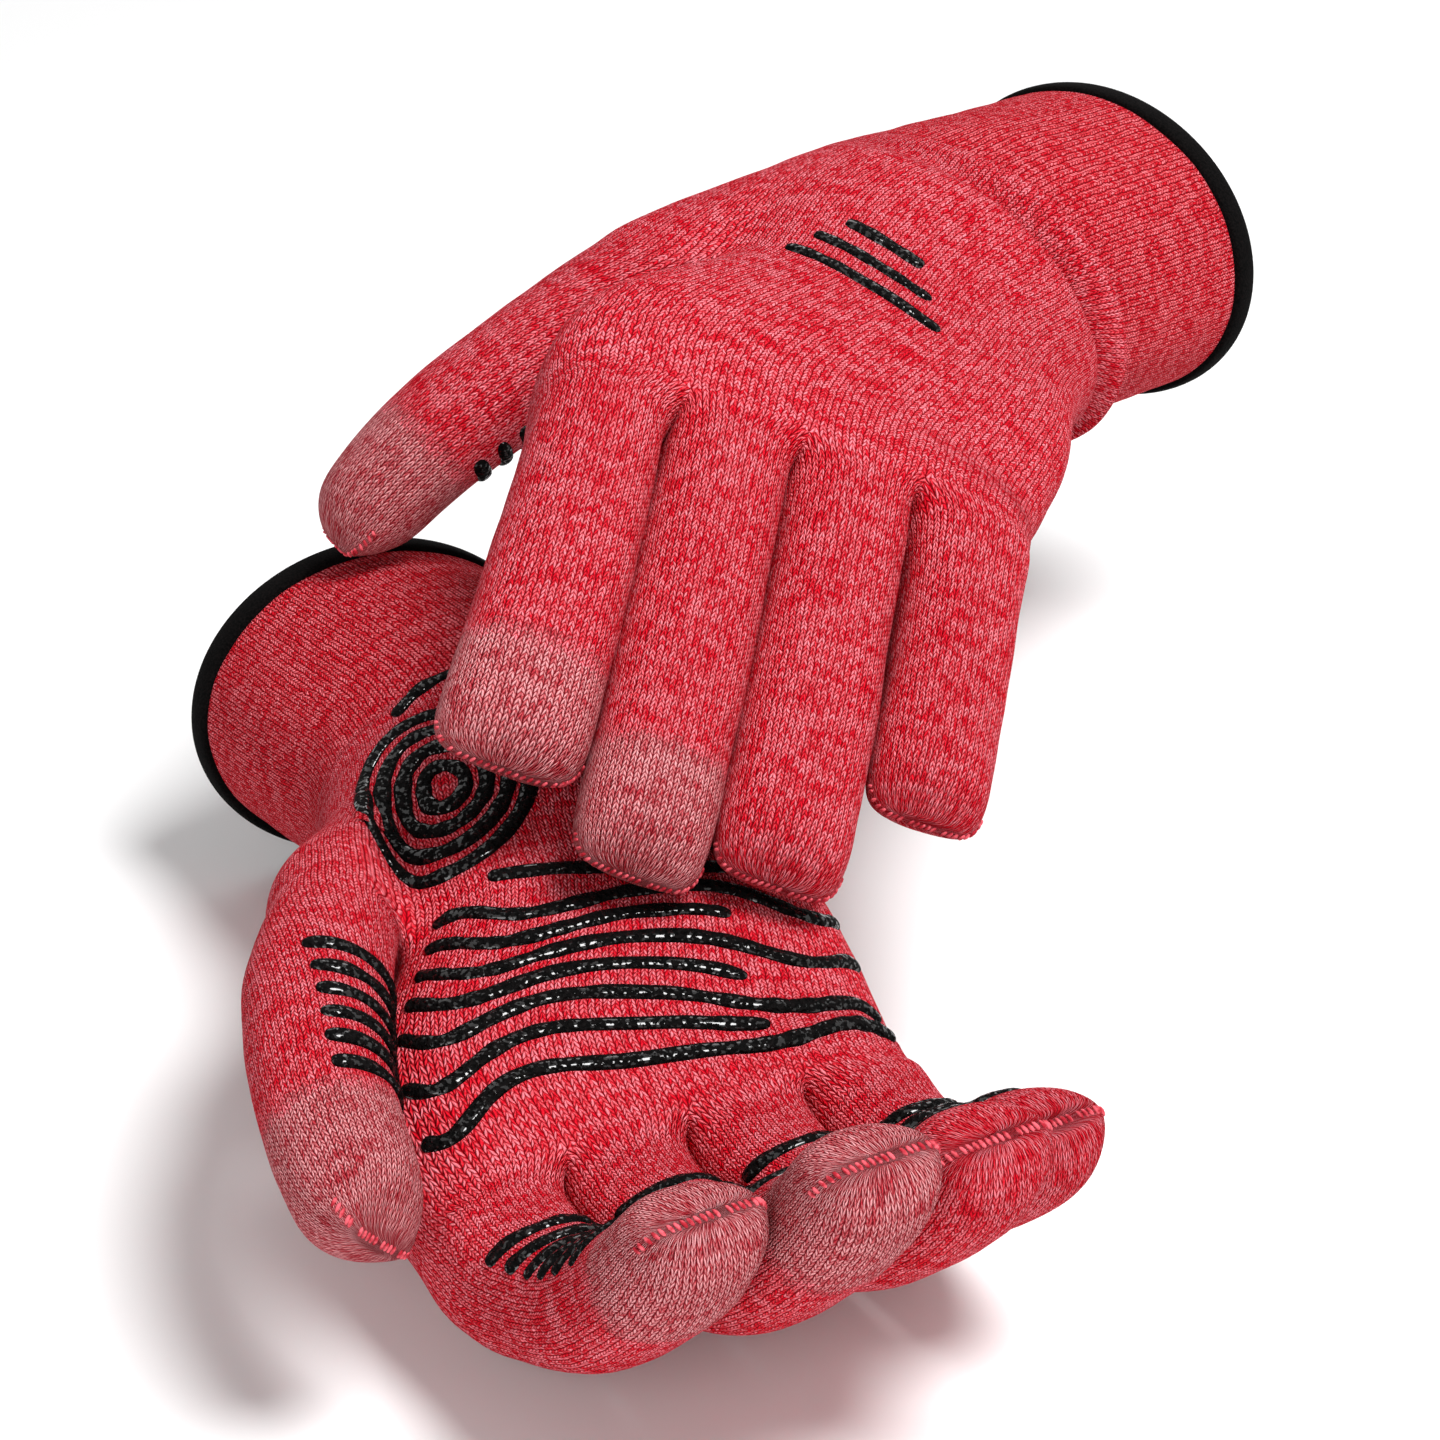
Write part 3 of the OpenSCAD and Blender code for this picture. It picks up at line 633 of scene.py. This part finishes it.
for side in ("left", "right"):
    for digit in ["thumb"] + DIGITS:
        bm = bmesh.new()
        edge = []
        for spot, above in tip_edge(side, digit):
            edge.append((placed(side, spot), placed(side, spot + above) - placed(side, spot)))
        walked = 0.0
        for (a, above), (b, _) in zip(edge, edge[1:]):
            walked += (b - a).length * 1000
            if walked < STITCH_PITCH:
                continue
            walked -= STITCH_PITCH
            spot = shell_surface[side].find_nearest(b)[0]
            along = (b - a).normalized()
            wrap = (above.normalized() + STITCH_SLANT * along).normalized()
            out = along.cross(wrap).normalized()
            axes = [v * size * 0.001 for v, size in zip((along, out, wrap), STITCH)]
            turn = Matrix(axes).transposed().to_4x4()
            turn.translation = spot
            bmesh.ops.create_uvsphere(bm, u_segments=6, v_segments=4, radius=1.0, matrix=turn)
        piece = finished(side + "_" + digit + "_seam", bm, seam_yarn)
        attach(piece, side + "_" + digit + "_body")

# Binding tape: a narrow black woven tape folded over the raw edge of the cuff and sewn down all round.
# Its fold is a list of places along the cuff, from its edge, and out from the knit, in mm.
TAPE_FOLD = (
    (-5.2, 0.3), (-5.2, 1.1), (-2.6, 1.5), (0.4, 1.3), (1.4, 0.2),
    (1.4, -1.4), (0.4, -2.5), (-2.6, -2.7), (-5.2, -2.3),
)
tape, start, feed = new_material("black_tape", Roughness=0.9, Specular_IOR_Level=0.03)
place = start.node("ShaderNodeTexCoord", {}, {}, "Object")
weave = start.node("ShaderNodeTexNoise", {}, {"Vector": place, "Scale": 2600.0, "Detail": 1.0})
feed("Base Color", mixed(step_up(weave, 0.3, 0.75), (0.001, 0.001, 0.001, 1), (0.005, 0.004, 0.004, 1)))
feed("Normal", start.node("ShaderNodeBump", {}, {"Strength": 0.6, "Distance": 0.0002, "Height": weave}))
for side in ("left", "right"):
    bm = bmesh.new()
    way = hand_axes(side, CUFF_END)[2]
    rows = [
        [spot + way * max(0.0, back) for spot in body_spots(side, CUFF_END + min(0.0, back), out)]
        for back, out in TAPE_FOLD
    ]
    first = ring = bmesh.ops.create_circle(bm, segments=BODY_POINTS, radius=1)["verts"]
    for vert, spot in zip(first, rows[0]):
        vert.co = spot
    for spots in rows[1:]:
        ring, faces = next_ring(bm, ring, spots)
    bmesh.ops.bridge_loops(bm, edges=ring_edges(bm, ring) + ring_edges(bm, first))
    piece = finished(side + "_binding_tape", bm, tape, side)
    smooth = piece.modifiers.new("round", "SUBSURF")
    smooth.levels = smooth.render_levels = 2
    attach(piece, side + "_hand_body")
    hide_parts(side + "_cuff_binding")

# Grip print: raised lines of glossy black silicone, pressed on to the palm side and cured, so their edges
# are a little uneven. Wave lines cross the palm, ripples sit on the two pads, and bars cross each finger.
LINE_WIDTH, LINE_HEIGHT = 3.0, 0.9
LINE_SWELL, SWELL_SCALE, END_SWELL = 0.3, 420, 0.6
BEAD = ((-0.5, -0.3), (-0.46, 0.35), (-0.24, 0.9), (0.24, 0.9), (0.46, 0.35), (0.5, -0.3))
silicone, start, feed = new_material(
    "black_silicone", Roughness=0.6, Specular_IOR_Level=0.02, Coat_Roughness=0.06)
place = start.node("ShaderNodeTexCoord", {}, {}, "Object")
grain = start.node("ShaderNodeTexNoise", {}, {"Vector": place, "Scale": 1100.0, "Detail": 2.0})
glint = start.node("ShaderNodeTexNoise", {}, {"Vector": place, "Scale": 1300.0, "Detail": 2.0})
feed("Base Color", mixed(step_up(grain, 0.3, 0.8), (0.0015, 0.0015, 0.0015, 1), (0.006, 0.005, 0.005, 1)))
feed("Coat Weight", step_up(glint, 0.54, 0.6))
feed("Normal", start.node("ShaderNodeBump", {}, {"Strength": 1.0, "Distance": 0.0011, "Height": grain}))


def rounded(angle, half, up, down, square):
    c, s = math.cos(math.radians(angle)), math.sin(math.radians(angle))
    x = math.copysign(abs(c) ** (2 / square), c)
    z = math.copysign(abs(s) ** (2 / square), s)
    return half * x, (up if s > 0 else down) * z


def nearest_knit(side, points):
    """The places on the knit next to some points, with the way out of it there."""
    return [shell_surface[side].find_nearest(placed(side, point))[:2] for point in points]


def knit_over(side, t, x, z):
    """The place on the hand or heel seen from its middle towards (x, z), with the way out there."""
    across, above, way = hand_axes(side, t)
    middle = hand_centre(side, t)
    start = placed(side, middle)
    return shell_surface[side].ray_cast(start, placed(side, middle + across * x + above * z) - start)[:2]


def printed_line(bm, found, closed):
    """One silicone line laid along places on the knit."""
    count = len(found)
    chain = first = None
    for k, (foot, normal) in enumerate(found):
        after = found[(k + 1) % count if closed else min(k + 1, count - 1)][0]
        prior = found[(k - 1) % count if closed else max(0, k - 1)][0]
        aside = normal.cross(after - prior).normalized()
        swell = 0.001 * (1 + LINE_SWELL * noise.noise(foot * SWELL_SCALE))
        if not closed and k in (0, count - 1):
            swell *= END_SWELL
        spots = [
            foot + aside * (x * LINE_WIDTH * swell) + normal * (z * LINE_HEIGHT * swell) for x, z in BEAD
        ]
        if chain is None:
            first = chain = [bm.verts.new(spot) for spot in spots]
            edges = [bm.edges.new(pair) for pair in zip(chain, chain[1:])]
            continue
        made = bmesh.ops.extrude_edge_only(bm, edges=edges)["geom"]
        fresh = {g for g in made if isinstance(g, bmesh.types.BMVert)}
        chain = [next(e.other_vert(v) for e in v.link_edges if e.other_vert(v) in fresh) for v in chain]
        for vert, spot in zip(chain, spots):
            vert.co = spot
        edges = [bm.edges.get(pair) for pair in zip(chain, chain[1:])]
    if closed:
        bmesh.ops.bridge_loops(bm, edges=edges + [bm.edges.get(pair) for pair in zip(first, first[1:])])
    else:
        bm.faces.new(first)
        bm.faces.new(reversed(chain))


BAR_COUNT, BAR_START, BAR_CLEAR, BAR_BOW = 6, 18.0, 16.0, 2.0
THUMB_BAR_START, THUMB_BAR_PITCH = 0.3, 0.07


def finger_line(side, digit, s):
    points = []
    for a in range(216, 325, 6):
        place = s + BAR_BOW * math.cos(math.radians(2 * (a - 270)))
        x, z = rounded(a, *finger_section(side, digit, place))
        points += ring_spots([(-x, z)], finger_centre(side, digit, place), finger_axes(side, digit, place))
    return nearest_knit(side, points)


def thumb_line(side, u):
    spots = []
    for a in range(224, 345, 8):
        x, z = rounded(a, *thumb_section(u), 2.3)
        spots.append((-x, z))
    return nearest_knit(side, ring_spots(spots, thumb_centre(side, u), thumb_axes(side, u)))


WAVE_COUNT, WAVE_START, WAVE_PITCH = 7, 9.5, 5.8
WAVE_SWAY, WAVE_OFTEN, WAVE_LAG = 2.3, 6, 25
LONG_FROM, SHORT_FROM, WAVE_END = 206, 254, 327


def palm_line(side, k):
    """A wave across the palm, every second one shorter at the little finger's side."""
    points = []
    for a in range(LONG_FROM if k % 2 == 0 else SHORT_FROM, WAVE_END, 2):
        sway = WAVE_SWAY * math.sin(math.radians(WAVE_OFTEN * (a - 270) + WAVE_LAG * k))
        t = WAVE_START + WAVE_PITCH * k + sway
        sizes = [between(t, table) for table in (HAND_HALF, HAND_UP, HAND_DOWN, HAND_SQUARE)]
        x, z = rounded(a, *sizes)
        points += ring_spots([(x + between(t, HAND_SHIFT), z)], hand_centre(side, t), hand_axes(side, t))
    return nearest_knit(side, points)


HEEL_HALF = [(CROTCH, 49.7), (64.8, 44.5), (81.6, 38.8), (96, 37)]
HEEL_SHIFT = [(CROTCH, 7.7), (64.8, 5), (81.6, 2.3), (96, 0.8)]
HEEL_DOWN = [(CROTCH, 19), (76, 21.6), (WRIST, 25)]
HEEL_DROP = [(CROTCH, THUMB_DROP), (81.6, 3.9), (CUFF_START, 0)]
PADS, RIPPLES = (-19, 21), (0.25, 0.5, 0.75, 1.0)
RIPPLE_MIDDLE, RIPPLE_LONG, RIPPLE_WIDE = 74.5, 17.0, 14.0
# The two waves of the heel: distance from the finger roots, sway, and the angles where they start and end.
HEEL_WAVES = ((51.6, 0.6, 214, 286), (98, 2, 222, 310))


def heel_spot(side, t, angle):
    tables = HEEL_HALF, HEEL_SHIFT, HEEL_DOWN, HEEL_DROP
    half, shift, down, drop = (between(t, table) for table in tables)
    x, z = rounded(angle, half, down, down, 2.4)
    return knit_over(side, t, x + shift, z - drop * ease((x + shift - 10) / 40))


def heel_ring(side, middle, size):
    """A ripple around the middle of a pad, a little out of round, as pressed on from below."""
    spots = []
    for q in range(0, 360, 6):
        turn = math.radians(q)
        wide = size * (1 + 0.07 * math.sin(2 * turn + middle) + 0.04 * math.sin(3 * turn))
        t = RIPPLE_MIDDLE + RIPPLE_LONG * wide * math.cos(turn)
        x = middle + RIPPLE_WIDE * wide * math.sin(turn)
        across, above, way = hand_axes(side, t)
        start = hand_centre(side, t) + across * x
        down = placed(side, start - above) - placed(side, start)
        spots.append(shell_surface[side].ray_cast(placed(side, start), down)[:2])
    return spots


def heel_wave(side, t, sway, first, last):
    turns = range(first, last, 2)
    return [heel_spot(side, t + sway * math.sin(math.radians(WAVE_OFTEN * (a - 270))), a) for a in turns]


def grip(name, side, lines, rings, body, node=None):
    bm = bmesh.new()
    for spots in lines:
        printed_line(bm, spots, False)
    for spots in rings:
        printed_line(bm, spots, True)
    bmesh.ops.recalc_face_normals(bm, faces=bm.faces)
    piece = finished(side + "_" + name, bm, silicone)
    smooth = piece.modifiers.new("round", "SUBSURF")
    smooth.levels = smooth.render_levels = 1
    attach(piece, side + "_" + body)
    if node:
        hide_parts(side + "_" + node)


for side in ("left", "right"):
    for digit in DIGITS:
        end = FINGER[digit]["length"] - (TIP_LENGTH if digit in ("index", "middle") else END_LENGTH)
        places = [BAR_START + k * (end - BAR_CLEAR) / (BAR_COUNT + 0.5) for k in range(BAR_COUNT)]
        lines = [finger_line(side, digit, s) for s in places]
        grip(digit + "_bars", side, lines, [], digit + "_body", digit + "_grip")
    lines = [thumb_line(side, THUMB_BAR_START + THUMB_BAR_PITCH * k) for k in range(BAR_COUNT)]
    grip("thumb_bars", side, lines, [], "thumb_body", "thumb_grip")
    grip("palm_waves", side, [palm_line(side, k) for k in range(WAVE_COUNT)], [], "hand_body", "palm_grip")
    lines = [heel_wave(side, *wave) for wave in HEEL_WAVES]
    rings = [heel_ring(side, middle, size) for middle in PADS for size in RIPPLES]
    grip("heel_ripples", side, lines, rings, "hand_body", "heel_grip")

# Back mark: three lines of the same silicone on the back of the left hand, laid across it towards the
# wrist, each shorter than the last.
MARK_ASIDE, MARK_START, MARK_PITCH, MARK_SLOPE = 7, CROTCH, 7.5, 0.1
MARK_HALF, MARK_SHORTER = 18, 5
BACK_HEIGHT = 17
lines = []
for k in range(3):
    ends = MARK_HALF - MARK_SHORTER * k
    reach = [MARK_ASIDE + ends * (1 - j / 10) for j in range(21)]
    row = MARK_START + MARK_PITCH * k
    lines.append([knit_over("left", row + MARK_SLOPE * x, x, BACK_HEIGHT) for x in reach])
grip("back_mark", "left", lines, [], "hand_body")

# Studio: a pale paper floor, three soft lamps, and a long lens at the angle of the photograph. To the
# camera, in a shine or through glass, the world is white, and the floor fades to white beyond the shadow.
SHOWN_RAYS = ("Is Camera Ray", "Is Glossy Ray", "Is Transmission Ray")
FADE_START, FADE_END = 0.35, 0.9
WORLD_LIGHT = 0.3
LAMP_AIM = Vector((0, 0, 0.06))


def shown_rays(start):
    rays = [start.node("ShaderNodeLightPath", {}, {}, ray) for ray in SHOWN_RAYS]
    return start.sum("MAXIMUM", start.sum("MAXIMUM", rays[0], rays[1]), rays[2])


bm = bmesh.new()
bmesh.ops.create_grid(bm, x_segments=1, y_segments=1, size=6.0)
paper, start, feed = new_material("pale_paper", Roughness=0.9, Base_Color=(0.9, 0.9, 0.9, 1.0))
place = start.node("ShaderNodeTexCoord", {}, {}, "Object")
away = start.node("ShaderNodeVectorMath", {"operation": "LENGTH"}, {0: place}, "Value")
seen = shown_rays(start)
glow = start.node("ShaderNodeEmission", {}, {"Color": (1.0, 1.0, 1.0, 1.0), "Strength": 1.0})
matt = Socket(start.tree, start.tree.nodes["Principled BSDF"].outputs[0])
whiten = seen * step_up(away, FADE_START, FADE_END)
fade = start.node("ShaderNodeMixShader", {}, {0: whiten, 1: matt, 2: glow})
start.tree.links.new(fade.link, start.tree.nodes["Material Output"].inputs["Surface"])
finished("floor", bm, paper)
world = bpy.data.worlds.new("studio")
bpy.context.scene.world = world
world.use_nodes = True
seen = shown_rays(Socket(world.node_tree, None))
background = world.node_tree.nodes["Background"]
background.inputs["Color"].default_value = (1.0, 1.0, 1.0, 1.0)
world.node_tree.links.new((seen * (1 - WORLD_LIGHT) + WORLD_LIGHT).link, background.inputs["Strength"])


def lamp(name, place, size, power):
    light = bpy.data.lights.new(name, "AREA")
    light.shape = "DISK"
    light.size = size
    light.energy = power
    made = bpy.data.objects.new(name, light)
    made.location = place
    made.rotation_euler = (LAMP_AIM - made.location).to_track_quat("-Z", "Y").to_euler()
    bpy.context.scene.collection.objects.link(made)


lamp("key", (0.5, -0.25, 1.2), 0.6, 20.5)
lamp("fill", (-0.25, -1.15, 0.45), 0.9, 7.0)
lamp("rim", (0.2, 1.1, 0.9), 0.8, 3.0)

lens = bpy.data.cameras.new("camera")
lens.sensor_width = 36.0
lens.lens = 107.6
camera = bpy.data.objects.new("camera", lens)
camera.location = (-0.00495, -0.6475, 0.37555)
camera.rotation_euler = (math.radians(63.0), 0.0, 0.0)
bpy.context.scene.collection.objects.link(camera)
bpy.context.scene.camera = camera
bpy.context.scene.view_settings.view_transform = "Standard"
